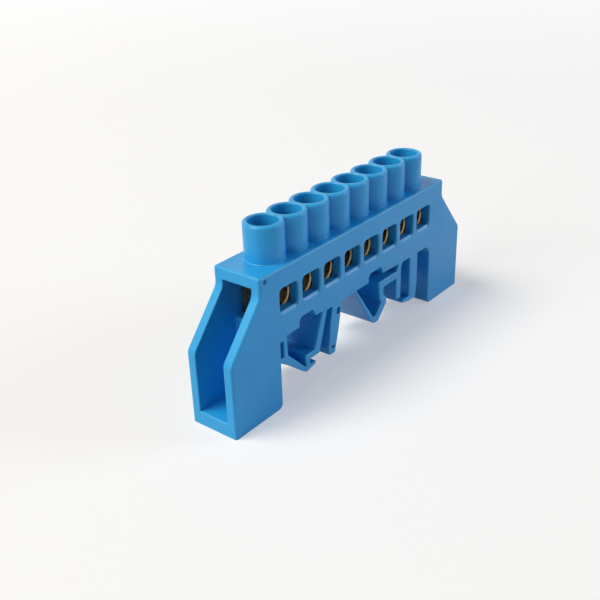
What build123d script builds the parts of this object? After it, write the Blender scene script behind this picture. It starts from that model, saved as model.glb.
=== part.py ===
from build123d import *
import os

# Terminal bar, bridge type: one moulded housing on two legs, one bar with wire
# holes, one terminal screw over each hole. All sizes are in millimetres.
# X runs along the bar from one leg to the other, Y across it, Z up from the feet.
# A side profile counts x from the near end at -X, or from a named start.

os.makedirs("parts", exist_ok=True)

# Row of terminals
WAYS = 8
PITCH = 7.0
FIRST_TERMINAL = 17.2
LENGTH = 2 * FIRST_TERMINAL + (WAYS - 1) * PITCH
WIDTH = 11.4

# Conductor bar and the cavity it lies in
BEAM_BOTTOM = 15.5
BEAM_FLOOR = 3.3
CAVITY_FLOOR = BEAM_BOTTOM + BEAM_FLOOR
SIDE_WALL = 2.1
CAVITY_WIDTH = WIDTH - 2 * SIDE_WALL
BAR_SIDE_CLEARANCE = 0.1
BAR_TOP_CLEARANCE = 0.1
BAR_WIDTH = CAVITY_WIDTH - 2 * BAR_SIDE_CLEARANCE
BAR_HEIGHT = 9.0
BAR_END_MARGIN = 3.6
BAR_LENGTH = (WAYS - 1) * PITCH + 2 * BAR_END_MARGIN
BAR_TOP = CAVITY_FLOOR + BAR_HEIGHT
BAR_END_CHAMFER = 0.3
CAVITY_TOP = BAR_TOP + BAR_TOP_CLEARANCE

# Wire holes in the bar, and the windows in the housing that lead to them
WIRE_HOLE_RADIUS = 2.4
WIRE_HOLE_CHAMFER = 0.25
WIRE_Z = CAVITY_FLOOR + BAR_HEIGHT / 2
WINDOW_LENGTH = 5.5
WINDOW_HEIGHT = 4.9
WINDOW_RADIUS = 0.9
WINDOW_EDGE = 0.2
WINDOW_LIFT = 0.25
WINDOW_Z = WIRE_Z + WINDOW_LIFT
SILL_DEPTH = 0.4
SILL_DROP = 0.6

# Outer form of the beam and the legs
ROOF = 2.5
BEAM_TOP = CAVITY_TOP + ROOF
KNEE = 16.0
KNEE_RADIUS = 2.0
SHOULDER = BEAM_TOP - 4.0
SHOULDER_INSET = 8.8
SHOULDER_RADIUS = 2.5
LEG_LENGTH = 13.9
LEG_INNER_WALL = 2.2
LEG_INNER_RADIUS = 2.5
FOOT_FLOOR = 3.0
FOOT_INNER_RADIUS = 1.2
OUTER_EDGE_RADIUS = 0.5
CHANNEL_EDGE_RADIUS = 0.2
NICK_RADIUS = 0.55

# Screw towers
TOWER_HEIGHT = 7.7
TOWER_TOP = BEAM_TOP + TOWER_HEIGHT
TOWER_RADIUS = 4.05
TOWER_BORE_RADIUS = 3.05
TOWER_RIM_RADIUS = 0.6
TOWER_MOUTH_CHAMFER = 0.2

# Terminal screws, drawn backed out so that the wire holes are clear
SHANK_RADIUS = 2.0
THREAD_CLEARANCE = 0.05
TAPPED_RADIUS = SHANK_RADIUS + THREAD_CLEARANCE
TIP_CHAMFER = 0.4
TIP_ABOVE_WIRE_HOLE = 0.3
TIP_Z = WIRE_Z + WIRE_HOLE_RADIUS + TIP_ABOVE_WIRE_HOLE
SCREW_TRAVEL = 3.0
HEAD_ABOVE_BAR_DRIVEN = 0.2
HEAD_CLEARANCE = 0.35
HEAD_RADIUS = TOWER_BORE_RADIUS - HEAD_CLEARANCE
HEAD_HEIGHT = 2.4
HEAD_EDGE_RADIUS = 0.4
HEAD_BOTTOM = BAR_TOP + SCREW_TRAVEL + HEAD_ABOVE_BAR_DRIVEN
HEAD_TOP = HEAD_BOTTOM + HEAD_HEIGHT
SLOT_WIDTH = 0.9
SLOT_DEPTH = 1.3
CROSS_LENGTH = 3.2

# Hat rail that the clips are shaped for
RAIL_WIDTH = 35.0
RAIL_HEIGHT = 7.5
RAIL_SHEET = 1.0
RAIL_PLAY = 0.15
RAIL_DROP = 0.85
RAIL_EDGE_NEAR = LENGTH / 2 - RAIL_WIDTH / 2
RAIL_EDGE_FAR = LENGTH / 2 + RAIL_WIDTH / 2
ABOVE_FLANGE = RAIL_HEIGHT - RAIL_DROP + RAIL_PLAY
BELOW_FLANGE = RAIL_HEIGHT - RAIL_DROP - RAIL_SHEET - RAIL_PLAY

# Clips under the beam
CLIP_BOTTOM = BELOW_FLANGE - 1.2
CLIP_ROOT = BEAM_BOTTOM + 1.5
POCKET_TOP = BEAM_BOTTOM + 2.1
POCKET_ARCH_RADIUS = 1.2
POCKET_CORNER_RADIUS = 0.5
CLIP_EDGE_RADIUS = 0.2
HOOK_HEEL = 10.2
HOOK_GAP = 1.1
HOOK_BITE = 0.8
LOOP_BOTTOM = CLIP_BOTTOM + 0.4
LOOP_BAR = 1.8
LATCH_GAP = 1.75
LATCH_BITE = 1.2
LATCH_THICKNESS = 3.3
LATCH_TO_LEG = LENGTH - LEG_LENGTH - RAIL_EDGE_FAR - LATCH_GAP - LATCH_THICKNESS
DIMPLE_DEPTH = 1.2


def outline(points, radii=None, start=0):
    """Closed face in the XZ plane, with chosen corners rounded."""
    places = [(start + x - LENGTH / 2, z) for x, z in points]
    face = make_face(Polyline(*places, close=True))
    for index, radius in (radii or {}).items():
        target = Vector(*places[index])
        corner = min(face.vertices(), key=lambda v: (Vector(*v) - target).length)
        face = fillet(corner, radius)
    return Plane.XZ * face


def slab(points, depth, radii=None, start=0):
    """Side profile carried across the housing, centred on Y = 0."""
    return extrude(outline(points, radii, start), amount=depth / 2, both=True)


def terminal_places(z):
    """Centre of each terminal at a given height."""
    first = FIRST_TERMINAL - LENGTH / 2
    return [Pos(first + i * PITCH, 0, z) for i in range(WAYS)]


def on_side_faces(edge):
    return abs(abs(edge.center().Y) - WIDTH / 2) < 0.01


def bridge():
    """Beam and the two knee-shaped legs, still solid."""
    half = [
        (LEG_LENGTH, 0),
        (0, 0),
        (0, KNEE),
        (SHOULDER_INSET, SHOULDER),
        (SHOULDER_INSET, BEAM_TOP),
    ]
    far = [(LENGTH - x, z) for x, z in reversed(half)]
    under = [(LENGTH - LEG_LENGTH, BEAM_BOTTOM), (LEG_LENGTH, BEAM_BOTTOM)]
    radii = {
        0: FOOT_INNER_RADIUS,
        2: KNEE_RADIUS,
        3: SHOULDER_RADIUS,
        6: SHOULDER_RADIUS,
        7: KNEE_RADIUS,
        9: FOOT_INNER_RADIUS,
        10: min(LEG_INNER_RADIUS, LATCH_TO_LEG / 2),
    }
    body = slab(half + far + under, WIDTH, radii)
    rim = body.edges().filter_by(
        lambda e: on_side_faces(e)
        and (e.center().Z > BEAM_BOTTOM + 1 or abs(e.center().X) > LENGTH / 2 - 0.01)
    )
    rim += body.edges().filter_by(
        lambda e: abs(e.center().Y) < 0.01 and abs(e.center().Z - BEAM_TOP) < 0.01
    )
    return fillet(rim, OUTER_EDGE_RADIUS)


def fixed_clip():
    """Closed foot by the near leg, which hooks under the rail's near flange."""
    leg = LEG_LENGTH - RAIL_EDGE_NEAR
    toe = (-3.3, CLIP_BOTTOM + 0.6)
    kink = ((leg + toe[0]) / 2 + 0.1, (HOOK_HEEL + toe[1]) / 2 + 0.25)
    foot = slab(
        [
            (leg - 1, HOOK_HEEL),
            (leg, HOOK_HEEL),
            kink,
            toe,
            (-2.2, CLIP_BOTTOM),
            (-1.2, CLIP_BOTTOM + 0.2),
            (HOOK_BITE, BELOW_FLANGE - 0.6),
            (HOOK_BITE, BELOW_FLANGE),
            (-HOOK_GAP, BELOW_FLANGE),
            (-HOOK_GAP, ABOVE_FLANGE),
            (2.15, ABOVE_FLANGE),
            (5.4, CLIP_ROOT),
            (leg - 1, CLIP_ROOT),
        ],
        WIDTH,
        start=RAIL_EDGE_NEAR,
    )
    pocket = slab(
        [
            (leg + 2.1, BEAM_BOTTOM),
            (-4.1, BEAM_BOTTOM),
            (-4.1, POCKET_TOP),
            (0.2, POCKET_TOP),
            (1.2, BEAM_BOTTOM + 0.4),
            (3.4, BEAM_BOTTOM + 0.3),
            (0.5, ABOVE_FLANGE + 1.4),
            (-2.5, ABOVE_FLANGE + 1.4),
            (-2.4, CLIP_BOTTOM + 1.2),
            (leg + 2.4, HOOK_HEEL + 0.7),
        ],
        WIDTH,
        {2: POCKET_ARCH_RADIUS, 3: POCKET_CORNER_RADIUS},
        RAIL_EDGE_NEAR,
    )
    slot = slab(
        [
            (leg, HOOK_HEEL + 0.9),
            (leg + 1.1, HOOK_HEEL + 0.9),
            (leg + 1.1, BEAM_BOTTOM - 0.8),
            (leg, BEAM_BOTTOM - 0.8),
        ],
        WIDTH,
        start=RAIL_EDGE_NEAR,
    )
    return foot, [pocket, slot]


def rail_guide():
    """Rib that drops into the rail behind its near wall."""
    return slab(
        [
            (7.1, CLIP_ROOT),
            (6.0, BEAM_BOTTOM - 4.0),
            (5.6, ABOVE_FLANGE + 1.2),
            (5.2, ABOVE_FLANGE - 0.6),
            (5.2, CLIP_BOTTOM + 0.5),
            (5.8, CLIP_BOTTOM + 0.1),
            (7.5, CLIP_BOTTOM + 0.1),
            (8.8, ABOVE_FLANGE + 2.3),
            (10.5, CLIP_ROOT),
        ],
        WIDTH,
        start=RAIL_EDGE_NEAR,
    )


def guide_dimples():
    """Two shallow recesses in each side of the guide rib."""
    upper = [
        (8.0, BEAM_BOTTOM - 2.4),
        (9.1, BEAM_BOTTOM - 2.5),
        (9.5, BEAM_BOTTOM - 1.1),
        (8.4, BEAM_BOTTOM - 0.9),
    ]
    lower = [
        (6.1, CLIP_BOTTOM + 1.3),
        (7.1, CLIP_BOTTOM + 1.3),
        (7.3, CLIP_BOTTOM + 2.1),
        (6.3, CLIP_BOTTOM + 2.1),
    ]
    core = Box(LENGTH, WIDTH - 2 * DIMPLE_DEPTH, 2 * TOWER_TOP)
    return [slab(points, WIDTH, start=RAIL_EDGE_NEAR) - core for points in (upper, lower)]


def spring_clip():
    """Sprung loop that dips into the rail, hung from the beam and from a rail stop."""
    bar_top = BEAM_BOTTOM - 1.4
    bar_bottom = bar_top - LOOP_BAR
    loop = slab(
        [
            (-21.1, CLIP_ROOT),
            (-14.3, LOOP_BOTTOM + 1.1),
            (-12.7, LOOP_BOTTOM),
            (-11.2, LOOP_BOTTOM),
            (-7.9, LOOP_BOTTOM + 3.3),
            (-7.9, LOOP_BOTTOM + 4.6),
            (-9.1, LOOP_BOTTOM + 5.8),
            (-9.1, bar_bottom),
            (-4.0, bar_bottom),
            (-4.0, ABOVE_FLANGE),
            (-2.0, ABOVE_FLANGE),
            (-2.0, bar_top),
            (-0.8, CLIP_ROOT),
        ],
        WIDTH,
        {1: 0.8, 2: 0.8, 3: 0.8},
        RAIL_EDGE_FAR,
    )
    pocket = slab(
        [
            (-19.6, BEAM_BOTTOM + 0.1),
            (-15.0, BEAM_BOTTOM + 0.1),
            (-15.0, POCKET_TOP),
            (-10.2, POCKET_TOP),
            (-9.4, BEAM_BOTTOM + 0.3),
            (-3.3, BEAM_BOTTOM + 0.1),
            (-3.8, bar_top),
            (-11.1, bar_top),
            (-10.6, LOOP_BOTTOM + 5.0),
            (-10.0, LOOP_BOTTOM + 4.2),
            (-12.2, LOOP_BOTTOM + 1.7),
            (-13.1, LOOP_BOTTOM + 1.7),
        ],
        WIDTH,
        {2: POCKET_ARCH_RADIUS, 3: POCKET_CORNER_RADIUS},
        RAIL_EDGE_FAR,
    )
    return loop, pocket


def latch():
    """Free tongue beside the far leg, with its nose under the far flange."""
    back = LATCH_GAP + LATCH_THICKNESS
    return slab(
        [
            (LATCH_GAP, CLIP_ROOT),
            (LATCH_GAP, BELOW_FLANGE),
            (-LATCH_BITE, BELOW_FLANGE),
            (-LATCH_BITE, BELOW_FLANGE - 0.5),
            (LATCH_GAP, CLIP_BOTTOM),
            (back - 0.5, CLIP_BOTTOM),
            (back, CLIP_BOTTOM + 3.5),
            (back, CLIP_ROOT),
        ],
        WIDTH,
        start=RAIL_EDGE_FAR,
    )


def hollow():
    """Bar cavity and the two leg channels, one space open at both ends."""
    wall = LEG_LENGTH - LEG_INNER_WALL
    points = [
        (-1, FOOT_FLOOR),
        (wall, FOOT_FLOOR),
        (wall, CAVITY_FLOOR),
        (LENGTH - wall, CAVITY_FLOOR),
        (LENGTH - wall, FOOT_FLOOR),
        (LENGTH + 1, FOOT_FLOOR),
        (LENGTH + 1, CAVITY_TOP),
        (-1, CAVITY_TOP),
    ]
    return slab(points, CAVITY_WIDTH)


def windows():
    """Rounded wire windows through both side walls, with eased edges and sloping sills."""
    face = RectangleRounded(WINDOW_LENGTH, WINDOW_HEIGHT, WINDOW_RADIUS)
    window = extrude(Plane.XZ * face, amount=WIDTH, both=True)
    inner = Plane.XZ.offset(WIDTH / 2 - SILL_DEPTH) * face
    slope = Vector(0, -SILL_DEPTH, -SILL_DROP)
    sill = extrude(inner, amount=2 * slope.length, dir=slope)
    wide = RectangleRounded(
        WINDOW_LENGTH + 2 * WINDOW_EDGE,
        WINDOW_HEIGHT + 2 * WINDOW_EDGE,
        WINDOW_RADIUS + WINDOW_EDGE,
    )
    mouth = extrude(Plane.XZ.offset(WIDTH / 2) * wide, amount=-WINDOW_EDGE, taper=45)
    window += [mouth, mirror(mouth, Plane.XZ), sill, mirror(sill, Plane.XZ)]
    return [place * window for place in terminal_places(WINDOW_Z)]


def towers():
    """Screw towers on top of the beam, running into each other in a row."""
    root = (CAVITY_TOP + BEAM_TOP) / 2
    height = TOWER_TOP - root
    tower = Pos(0, 0, height / 2) * Cylinder(TOWER_RADIUS, height)
    tower = fillet(tower.edges().group_by(Axis.Z)[-1], TOWER_RIM_RADIUS)
    return [place * tower for place in terminal_places(root)]


def tower_bores():
    """Bore of each tower, down into the cavity, with its eased mouth."""
    height = TOWER_TOP - CAVITY_FLOOR
    bore = Pos(0, 0, height / 2) * Cylinder(TOWER_BORE_RADIUS, height)
    mouth = Pos(0, 0, height - TOWER_MOUTH_CHAMFER / 2) * Cone(
        TOWER_BORE_RADIUS, TOWER_BORE_RADIUS + TOWER_MOUTH_CHAMFER, TOWER_MOUTH_CHAMFER
    )
    return [place * (bore + mouth) for place in terminal_places(CAVITY_FLOOR)]


def corner_nick():
    """Small dent in the top corner of the near end, as left by a knock."""
    x = SHOULDER_INSET + 1.5 - LENGTH / 2
    return Pos(x, -WIDTH / 2, BEAM_TOP - 1.1) * Sphere(NICK_RADIUS)


def eased_clips(body):
    """Round the side edges of everything that hangs under the beam."""
    def below(edge):
        middle = abs(edge.center().X) < LENGTH / 2 - LEG_LENGTH - 0.2
        return on_side_faces(edge) and middle and edge.center().Z < POCKET_TOP + 0.1
    return fillet(body.edges().filter_by(below), CLIP_EDGE_RADIUS)


def eased_channels(body):
    """Round the rims of the two open leg channels."""
    def on_end_face(edge):
        x = LENGTH / 2 - abs(edge.center().X)
        z = edge.center().Z
        slope = SHOULDER_INSET / (SHOULDER - KNEE)
        reach = min(max((z - KNEE) * slope, 0), SHOULDER_INSET)
        inside = abs(edge.center().Y) < CAVITY_WIDTH / 2 + 0.01
        return inside and FOOT_FLOOR - 0.01 < z < CAVITY_TOP + 0.01 and abs(x - reach) < 0.5
    return fillet(body.edges().filter_by(on_end_face), CHANNEL_EDGE_RADIUS)


def housing():
    """The one moulded piece."""
    body = bridge()
    body += towers()
    foot, foot_cuts = fixed_clip()
    loop, loop_pocket = spring_clip()
    body += [foot, rail_guide(), loop, latch()]
    body -= foot_cuts
    body -= loop_pocket
    body = eased_clips(body)
    body -= guide_dimples()
    body -= hollow()
    body = eased_channels(body)
    body -= windows()
    body -= tower_bores()
    body -= corner_nick()
    return body


def conductor():
    """Bar with a wire hole and a tapped screw hole at each terminal."""
    bar = Pos(0, 0, CAVITY_FLOOR + BAR_HEIGHT / 2) * Box(BAR_LENGTH, BAR_WIDTH, BAR_HEIGHT)
    bar = chamfer(bar.edges(), BAR_END_CHAMFER)
    mouth = Cone(WIRE_HOLE_RADIUS, WIRE_HOLE_RADIUS + WIRE_HOLE_CHAMFER, WIRE_HOLE_CHAMFER)
    mouth = Pos(0, 0, BAR_WIDTH / 2 - WIRE_HOLE_CHAMFER / 2) * mouth
    wire_hole = Cylinder(WIRE_HOLE_RADIUS, BAR_WIDTH) + mouth + mirror(mouth, Plane.XY)
    tapped_hole = Pos(0, 0, BAR_HEIGHT / 2) * Cylinder(TAPPED_RADIUS, BAR_HEIGHT)
    for place in terminal_places(WIRE_Z):
        bar -= place * Rot(90, 0, 0) * wire_hole
        bar -= place * tapped_hole
    return bar


def screw():
    """Terminal screw with a slot and a cross recess in its head."""
    half_section = Polyline(
        (0, TIP_Z),
        (SHANK_RADIUS - TIP_CHAMFER, TIP_Z),
        (SHANK_RADIUS, TIP_Z + TIP_CHAMFER),
        (SHANK_RADIUS, HEAD_BOTTOM),
        (HEAD_RADIUS, HEAD_BOTTOM),
        (HEAD_RADIUS, HEAD_TOP),
        (0, HEAD_TOP),
        close=True,
    )
    blank = revolve(Plane.XZ * make_face(half_section), Axis.Z)
    blank = fillet(blank.edges().group_by(Axis.Z)[-1], HEAD_EDGE_RADIUS)
    recess = Pos(0, 0, HEAD_TOP - SLOT_DEPTH / 2)
    slot = recess * Box(4 * HEAD_RADIUS, SLOT_WIDTH, SLOT_DEPTH)
    cross = recess * Box(SLOT_WIDTH, CROSS_LENGTH, SLOT_DEPTH)
    return blank - slot - cross


def save(shape, name):
    shape.label = name
    export_step(shape, os.path.join("parts", name + ".step"))


save(housing(), "housing")
save(conductor(), "conductor_bar")
one_screw = screw()
for number, place in enumerate(terminal_places(0), start=1):
    save(place * one_screw, f"terminal_screw_{number}")
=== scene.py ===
import math

import bpy
from mathutils import Matrix, Vector


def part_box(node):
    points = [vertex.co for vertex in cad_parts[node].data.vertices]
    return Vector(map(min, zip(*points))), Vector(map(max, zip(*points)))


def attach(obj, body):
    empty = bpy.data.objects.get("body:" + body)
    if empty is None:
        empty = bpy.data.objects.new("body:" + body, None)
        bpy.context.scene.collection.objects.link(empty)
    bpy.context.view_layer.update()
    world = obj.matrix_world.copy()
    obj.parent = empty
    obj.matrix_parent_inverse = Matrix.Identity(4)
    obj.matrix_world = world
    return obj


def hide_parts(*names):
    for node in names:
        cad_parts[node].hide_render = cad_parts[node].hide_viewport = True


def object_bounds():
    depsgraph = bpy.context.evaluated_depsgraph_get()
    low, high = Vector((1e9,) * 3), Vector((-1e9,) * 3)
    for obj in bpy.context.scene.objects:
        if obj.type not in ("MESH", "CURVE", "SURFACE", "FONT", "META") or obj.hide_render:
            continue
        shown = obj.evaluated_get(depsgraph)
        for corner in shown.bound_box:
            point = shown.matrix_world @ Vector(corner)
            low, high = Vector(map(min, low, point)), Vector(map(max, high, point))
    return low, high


MM = 0.001
TERMINALS = 8

# Camera, fitted to the photograph: place, direction in radians and focal length in pixels
CAMERA_PLACE = Vector((-138.77, -101.46, 98.66)) * MM
CAMERA_YAW = 0.684
CAMERA_TILT = 0.471
CAMERA_ROLL = 0.033
FOCAL_PX = 873.5
IMAGE_PX = 600
SENSOR_MM = 36.0

# Thread of the screws, with the shares of one pitch that its root and two flanks take
THREAD_PITCH = 0.7 * MM
THREAD_DEPTH = 0.3 * MM
THREAD_ROOT = 0.15
THREAD_FLANKS = 0.6
THREAD_FADE = 0.8 * THREAD_PITCH
THREAD_RUNOUT = 1.0 * MM
ROWS_PER_PITCH = 8

# Shank, head and recess of the screws, in the sizes that the solids have
SHANK_RADIUS = 2.0 * MM
TIP_CHAMFER = 0.4 * MM
HEAD_HEIGHT = 2.4 * MM
HEAD_EDGE = 0.4 * MM
HEAD_EDGE_ROWS = 6
HEAD_UNDERSIDE_EASE = 0.1 * MM
SLOT_LENGTH = 8 * MM
SLOT_WIDTH = 0.9 * MM
SLOT_DEPTH = 1.3 * MM
CROSS_LENGTH = 3.2 * MM
SCREW_SEGMENTS = 48
SCREW_TWIST = 2.4           # radians from one screw's recess to the next
SHARP_ANGLE = math.radians(38)

# Floor: its colour as seen, its colour for the light it throws back, its own glow as
# seen, and the distances over which it turns into the white backdrop
FLOOR_REACH = 3.0
FLOOR_SEEN = (0.64, 0.61, 0.635, 1.0)
FLOOR_BOUNCE = (0.50, 0.50, 0.55, 1.0)
FLOOR_GLOW = 0.36
FLOOR_FADE = (0.25, 1.1)

# World: what is seen of it, and the light it gives
BACKDROP = (1.0, 1.0, 1.0, 1.0)
AMBIENT = (0.80, 0.90, 1.0, 1.0)
AMBIENT_STRENGTH = 0.08

# Lamps: place, width of the disk, power in watts and colour
LAMPS = {
    "key": ((-1.0, 0.85, 2.0), 1.25, 42.0, (1.0, 1.0, 0.87)),
    "left": ((-2.0, 0.3, 0.8), 1.4, 19.0, (1.0, 1.0, 0.94)),
    "right": ((1.5, -1.5, 0.7), 1.2, 21.0, (0.66, 0.83, 1.0)),
}

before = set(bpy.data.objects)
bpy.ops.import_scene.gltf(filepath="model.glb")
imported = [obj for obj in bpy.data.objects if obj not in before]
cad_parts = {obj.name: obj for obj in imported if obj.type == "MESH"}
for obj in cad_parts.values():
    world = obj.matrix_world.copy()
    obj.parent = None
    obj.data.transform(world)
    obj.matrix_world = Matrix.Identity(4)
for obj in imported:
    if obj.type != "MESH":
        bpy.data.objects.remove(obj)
CAD_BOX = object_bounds()


def new_object(name, verts, faces):
    """A mesh object in the scene, from its vertices and faces."""
    mesh = bpy.data.meshes.new(name)
    mesh.from_pydata(verts, [], faces)
    made = bpy.data.objects.new(name, mesh)
    bpy.context.scene.collection.objects.link(made)
    return made


# Shader helpers

def new_material(name):
    material = bpy.data.materials.new(name)
    material.use_nodes = True
    nodes, links = material.node_tree.nodes, material.node_tree.links
    return material, nodes, links, nodes["Principled BSDF"]


def add_node(nodes, kind, **values):
    """A new node; values set its properties or, by socket name, its inputs."""
    node = nodes.new(kind)
    for key, value in values.items():
        if hasattr(node, key):
            setattr(node, key, value)
        else:
            node.inputs[key.replace("_", " ")].default_value = value
    return node


def object_space(nodes):
    return add_node(nodes, "ShaderNodeTexCoord").outputs["Object"]


def noise(nodes, links, place, scale, detail=3.0, roughness=0.5):
    node = add_node(nodes, "ShaderNodeTexNoise", Scale=scale, Detail=detail, Roughness=roughness)
    links.new(place, node.inputs["Vector"])
    return node.outputs["Fac"]


def to_range(nodes, links, value, old, new):
    """Value carried from one range to another and held at the new one's ends."""
    node = add_node(nodes, "ShaderNodeMapRange")
    links.new(value, node.inputs["Value"])
    for socket, number in zip(("From Min", "From Max", "To Min", "To Max"), old + new):
        node.inputs[socket].default_value = number
    return node.outputs["Result"]


def math_node(nodes, links, operation, first, second):
    node = add_node(nodes, "ShaderNodeMath", operation=operation)
    links.new(first, node.inputs[0])
    links.new(second, node.inputs[1])
    return node.outputs["Value"]


def mix_colour(nodes, links, factor, first, second):
    """Mix of two colours, each a tuple or a socket."""
    node = add_node(nodes, "ShaderNodeMix", data_type="RGBA")
    links.new(factor, node.inputs["Factor"])
    for name, value in (("A", first), ("B", second)):
        socket = [s for s in node.inputs if s.name == name and s.type == "RGBA"][0]
        if isinstance(value, tuple):
            socket.default_value = value
        else:
            links.new(value, socket)
    return [s for s in node.outputs if s.type == "RGBA"][0]


def bump(nodes, links, height, distance, normal, strength=1.0):
    node = add_node(nodes, "ShaderNodeBump", Strength=strength, Distance=distance)
    links.new(height, node.inputs["Height"])
    links.new(normal, node.inputs["Normal"])
    return node.outputs["Normal"]


def rounded_normal(nodes, radius):
    """Normal that shows each edge as if it were rounded to the radius."""
    return add_node(nodes, "ShaderNodeBevel", samples=6, Radius=radius).outputs["Normal"]


def edge_mask(nodes, links, rounded, sharpness):
    """1 where the rounded normal leaves the face's own, and 0 on open faces."""
    geometry = add_node(nodes, "ShaderNodeNewGeometry")
    dot = add_node(nodes, "ShaderNodeVectorMath", operation="DOT_PRODUCT")
    links.new(rounded, dot.inputs[0])
    links.new(geometry.outputs["Normal"], dot.inputs[1])
    return to_range(nodes, links, dot.outputs["Value"], (1.0, sharpness), (0.0, 1.0))


# Materials

def moulded_blue():
    """Semi-gloss blue moulding: faint flow clouds, fine skin, and paler edges that are a painted
    highlight.
    """
    material, nodes, links, shader = new_material("moulded_blue")
    place = object_space(nodes)
    clouds = noise(nodes, links, place, scale=90.0)
    colour = mix_colour(nodes, links, to_range(nodes, links, clouds, (0.3, 0.7), (0.0, 1.0)),
                        (0.016, 0.330, 0.705, 1.0), (0.024, 0.365, 0.755, 1.0))
    # Painted highlight: near edges the blue is mixed towards a paler blue, in noisy patches,
    # where rounded edges would catch light
    rounded = rounded_normal(nodes, 0.35 * MM)
    edges = edge_mask(nodes, links, rounded, 0.7)
    patches = noise(nodes, links, place, scale=900.0)
    painted_edge_highlight = math_node(nodes, links, "MULTIPLY", edges,
                     to_range(nodes, links, patches, (0.35, 0.6), (0.35, 0.9)))
    colour = mix_colour(nodes, links, painted_edge_highlight, colour, (0.21, 0.58, 0.85, 1.0))
    links.new(colour, shader.inputs["Base Color"])
    smears = noise(nodes, links, place, scale=260.0, detail=5.0, roughness=0.6)
    rough = to_range(nodes, links, smears, (0.3, 0.7), (0.30, 0.42))
    links.new(rough, shader.inputs["Roughness"])
    skin = noise(nodes, links, place, scale=2500.0, detail=4.0)
    relief = bump(nodes, links, skin, 0.012 * MM, rounded)
    links.new(relief, shader.inputs["Normal"])
    shader.inputs["IOR"].default_value = 1.5
    shader.inputs["Specular IOR Level"].default_value = 0.4
    return material


def sawn_brass():
    """Dull brass: saw lines, fine grain, browner stains, and bright edges that are a painted
    highlight.
    """
    material, nodes, links, shader = new_material("sawn_brass")
    place = object_space(nodes)
    stains = noise(nodes, links, place, scale=220.0, detail=5.0, roughness=0.6)
    colour = mix_colour(nodes, links, to_range(nodes, links, stains, (0.40, 0.75), (0.0, 1.0)),
                        (0.27, 0.20, 0.11, 1.0), (0.09, 0.063, 0.04, 1.0))
    rounded = rounded_normal(nodes, 0.15 * MM)
    edges = edge_mask(nodes, links, rounded, 0.8)
    # Painted highlight: within 0.15 mm of edges the colour turns to pale brass, where chamfered
    # rims would catch light
    colour = mix_colour(nodes, links, edges, colour, (0.78, 0.70, 0.56, 1.0))
    links.new(colour, shader.inputs["Base Color"])
    shader.inputs["Metallic"].default_value = 1.0
    lines = add_node(nodes, "ShaderNodeTexWave", wave_type="BANDS", bands_direction="X",
                     Scale=520.0, Distortion=1.2, Detail=2.0)
    links.new(place, lines.inputs["Vector"])
    grain = noise(nodes, links, place, scale=1800.0, detail=4.0)
    rough = to_range(nodes, links, grain, (0.3, 0.7), (0.20, 0.42))
    links.new(rough, shader.inputs["Roughness"])
    relief = bump(nodes, links, lines.outputs["Fac"], 0.02 * MM, rounded, strength=0.7)
    relief = bump(nodes, links, grain, 0.01 * MM, relief)
    links.new(relief, shader.inputs["Normal"])
    return material


def plated_steel():
    """Plated screw: pale grey with a warm tinge in places and a fine grain."""
    material, nodes, links, shader = new_material("plated_steel")
    place = object_space(nodes)
    tinge = noise(nodes, links, place, scale=350.0)
    colour = mix_colour(nodes, links, to_range(nodes, links, tinge, (0.35, 0.7), (0.0, 1.0)),
                        (0.62, 0.62, 0.60, 1.0), (0.66, 0.60, 0.46, 1.0))
    links.new(colour, shader.inputs["Base Color"])
    shader.inputs["Metallic"].default_value = 1.0
    grain = noise(nodes, links, place, scale=2600.0, detail=4.0)
    rough = to_range(nodes, links, grain, (0.3, 0.7), (0.24, 0.40))
    links.new(rough, shader.inputs["Roughness"])
    relief = bump(nodes, links, grain, 0.008 * MM, rounded_normal(nodes, 0.1 * MM))
    links.new(relief, shader.inputs["Normal"])
    return material


# Screws with their real helical thread, in place of the plain solids

def share(value):
    """The value held between 0 and 1."""
    return min(max(value, 0.0), 1.0)


def shank_radius(z, angle, low, high):
    """Radius of the shank at height z and angle, with the thread winding up it."""
    turns = (z - low) / THREAD_PITCH - angle / (2 * math.pi)
    across = abs(turns - math.floor(turns) - 0.5) * 2
    ridge = share((across - THREAD_ROOT) / THREAD_FLANKS)
    fade_top = share((high - THREAD_RUNOUT - z) / THREAD_FADE)
    fade_tip = share((z - low) / THREAD_FADE)
    depth = THREAD_DEPTH * (1 - ridge) * fade_top * fade_tip
    return min(SHANK_RADIUS - depth, SHANK_RADIUS - TIP_CHAMFER + (z - low))


def screw_rings(low, under_head, top, head_radius):
    """Rows of the screw from its tip to its top as (height, radius or None for the shank)."""
    rows = int(round((under_head - low) / THREAD_PITCH * ROWS_PER_PITCH))
    rings = [(low + (under_head - low) * i / rows, None) for i in range(rows + 1)]
    rings.append((under_head, head_radius - HEAD_UNDERSIDE_EASE))
    rings.append((under_head + HEAD_UNDERSIDE_EASE, head_radius))
    for i in range(HEAD_EDGE_ROWS + 1):
        turn = math.pi / 2 * i / HEAD_EDGE_ROWS
        rings.append((top - HEAD_EDGE + HEAD_EDGE * math.sin(turn),
                      head_radius - HEAD_EDGE + HEAD_EDGE * math.cos(turn)))
    return rings


def screw_blank(name, low, high):
    """Mesh of one screw in the box from low to high, with no recess yet."""
    centre = (low + high) / 2
    head_radius = (high.x - low.x) / 2
    under_head = high.z - HEAD_HEIGHT
    verts, faces = [], []
    for z, radius in screw_rings(low.z, under_head, high.z, head_radius):
        for k in range(SCREW_SEGMENTS):
            angle = 2 * math.pi * k / SCREW_SEGMENTS
            r = radius or shank_radius(z, angle, low.z, under_head)
            verts.append((centre.x + r * math.cos(angle), centre.y + r * math.sin(angle), z))
    top_row = len(verts) - SCREW_SEGMENTS
    for row in range(0, top_row, SCREW_SEGMENTS):
        for k in range(SCREW_SEGMENTS):
            a, b = row + k, row + (k + 1) % SCREW_SEGMENTS
            faces.append((a, b, b + SCREW_SEGMENTS, a + SCREW_SEGMENTS))
    faces.append(tuple(reversed(range(SCREW_SEGMENTS))))
    faces.append(tuple(range(top_row, len(verts))))
    return new_object(name, verts, faces)


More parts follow.
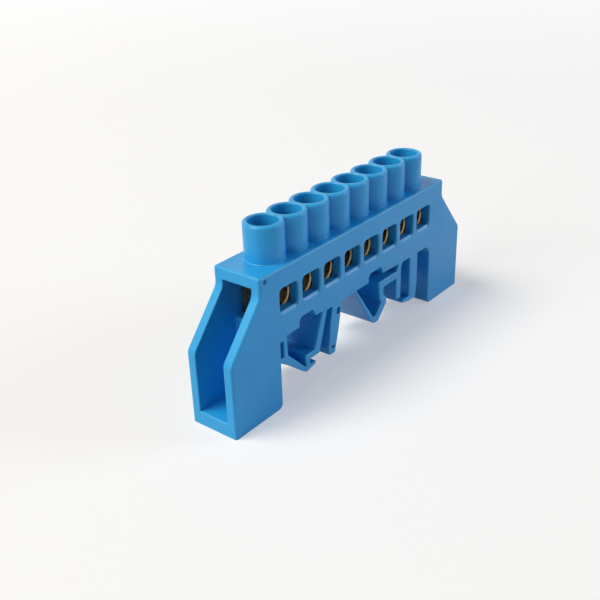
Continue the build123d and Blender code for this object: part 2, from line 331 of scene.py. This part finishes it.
def make_screw(number, material, cutters):
    node = f"terminal_screw_{number}"
    low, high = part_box(node)
    screw = screw_blank(f"screw_{number}_detail", low, high)
    head = Matrix.Translation(((low.x + high.x) / 2, (low.y + high.y) / 2, high.z))
    for cutter in cutters:
        cutter.matrix_world = head @ Matrix.Rotation(SCREW_TWIST * number, 4, "Z")
        modifier = screw.modifiers.new("recess", "BOOLEAN")
        modifier.operation = "DIFFERENCE"
        modifier.solver = "EXACT"
        modifier.object = cutter
    bpy.context.view_layer.update()
    evaluated = screw.evaluated_get(bpy.context.evaluated_depsgraph_get())
    cut = bpy.data.meshes.new_from_object(evaluated)
    screw.modifiers.clear()
    screw.data = cut
    cut.shade_smooth()
    cut.set_sharp_from_angle(angle=SHARP_ANGLE)
    cut.materials.clear()
    cut.materials.append(material)
    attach(screw, f"screw_{number}")
    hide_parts(node)


def recess_cutter(name, length, width):
    """Block that cuts one groove of the head's recess, centred on the head's top."""
    corners = [(x * length / 2, y * width / 2, z * SLOT_DEPTH)
               for x in (-1, 1) for y in (-1, 1) for z in (-1, 1)]
    sides = [(0, 1, 3, 2), (4, 6, 7, 5), (0, 4, 5, 1), (2, 3, 7, 6), (0, 2, 6, 4), (1, 5, 7, 3)]
    return new_object(name, corners, sides)


def make_screws(material):
    cutters = [recess_cutter("slot_cutter", SLOT_LENGTH, SLOT_WIDTH),
               recess_cutter("cross_cutter", SLOT_WIDTH, CROSS_LENGTH)]
    for number in range(1, TERMINALS + 1):
        make_screw(number, material, cutters)
    for cutter in cutters:
        bpy.data.objects.remove(cutter)


# Dressing of the solids that stay

def dress(node, material):
    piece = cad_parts[node]
    piece.data.materials.clear()
    piece.data.materials.append(material)


# Floor, light and camera

def seen_rays(nodes, links):
    """1 for the rays that show the floor and backdrop, 0 for the light they throw back."""
    rays = nodes.new("ShaderNodeLightPath")
    mirrored = math_node(nodes, links, "MAXIMUM", rays.outputs["Is Glossy Ray"],
                         rays.outputs["Is Transmission Ray"])
    return math_node(nodes, links, "MAXIMUM", rays.outputs["Is Camera Ray"], mirrored)


def make_floor():
    corners = [(x * FLOOR_REACH, y * FLOOR_REACH, 0)
               for x, y in ((-1, -1), (1, -1), (1, 1), (-1, 1))]
    floor = new_object("floor", corners, [(0, 1, 2, 3)])
    material, nodes, links, shader = new_material("pale_floor")
    seen = seen_rays(nodes, links)
    distance = add_node(nodes, "ShaderNodeVectorMath", operation="LENGTH")
    links.new(object_space(nodes), distance.inputs[0])
    far = to_range(nodes, links, distance.outputs["Value"], FLOOR_FADE, (0.0, 1.0))
    colour = mix_colour(nodes, links, far, FLOOR_SEEN, (0.0, 0.0, 0.0, 1.0))
    colour = mix_colour(nodes, links, seen, FLOOR_BOUNCE, colour)
    links.new(colour, shader.inputs["Base Color"])
    glow = to_range(nodes, links, far, (0.0, 1.0), (FLOOR_GLOW, 1.0))
    glow = math_node(nodes, links, "MULTIPLY", seen, glow)
    links.new(glow, shader.inputs["Emission Strength"])
    shader.inputs["Emission Color"].default_value = BACKDROP
    shader.inputs["Roughness"].default_value = 0.6
    shader.inputs["Specular IOR Level"].default_value = 0.2
    floor.data.materials.append(material)


def make_world():
    world = bpy.data.worlds.new("studio")
    bpy.context.scene.world = world
    world.use_nodes = True
    nodes, links = world.node_tree.nodes, world.node_tree.links
    nodes.clear()
    ambient = add_node(nodes, "ShaderNodeBackground", Color=AMBIENT, Strength=AMBIENT_STRENGTH)
    backdrop = add_node(nodes, "ShaderNodeBackground", Color=BACKDROP, Strength=1.0)
    mix = nodes.new("ShaderNodeMixShader")
    links.new(seen_rays(nodes, links), mix.inputs["Fac"])
    links.new(ambient.outputs[0], mix.inputs[1])
    links.new(backdrop.outputs[0], mix.inputs[2])
    links.new(mix.outputs[0], nodes.new("ShaderNodeOutputWorld").inputs["Surface"])


def make_lamps():
    middle = (CAD_BOX[0] + CAD_BOX[1]) / 2
    for name, (place, size, power, colour) in LAMPS.items():
        lamp = bpy.data.lights.new(name, "AREA")
        lamp.shape = "DISK"
        lamp.size = size
        lamp.energy = power
        lamp.color = colour
        holder = bpy.data.objects.new(name, lamp)
        bpy.context.scene.collection.objects.link(holder)
        holder.location = place
        holder.rotation_euler = (middle - Vector(place)).to_track_quat("-Z", "Y").to_euler()


def make_camera():
    forward = Vector((math.cos(CAMERA_YAW) * math.cos(CAMERA_TILT),
                      math.sin(CAMERA_YAW) * math.cos(CAMERA_TILT),
                      -math.sin(CAMERA_TILT)))
    level = Vector((math.sin(CAMERA_YAW), -math.cos(CAMERA_YAW), 0.0))
    up = level.cross(forward)
    right = math.cos(CAMERA_ROLL) * level - math.sin(CAMERA_ROLL) * up
    top = math.sin(CAMERA_ROLL) * level + math.cos(CAMERA_ROLL) * up
    camera = bpy.data.cameras.new("camera")
    camera.sensor_width = SENSOR_MM
    camera.lens = SENSOR_MM * FOCAL_PX / IMAGE_PX
    camera.clip_start = 0.005
    holder = bpy.data.objects.new("camera", camera)
    bpy.context.scene.collection.objects.link(holder)
    turn = Matrix((right, top, -forward)).transposed().to_4x4()
    holder.matrix_world = Matrix.Translation(CAMERA_PLACE) @ turn
    bpy.context.scene.camera = holder


dress("housing", moulded_blue())
dress("conductor_bar", sawn_brass())
make_screws(plated_steel())
make_floor()
make_world()
make_lamps()
make_camera()
bpy.context.scene.view_settings.view_transform = "Standard"
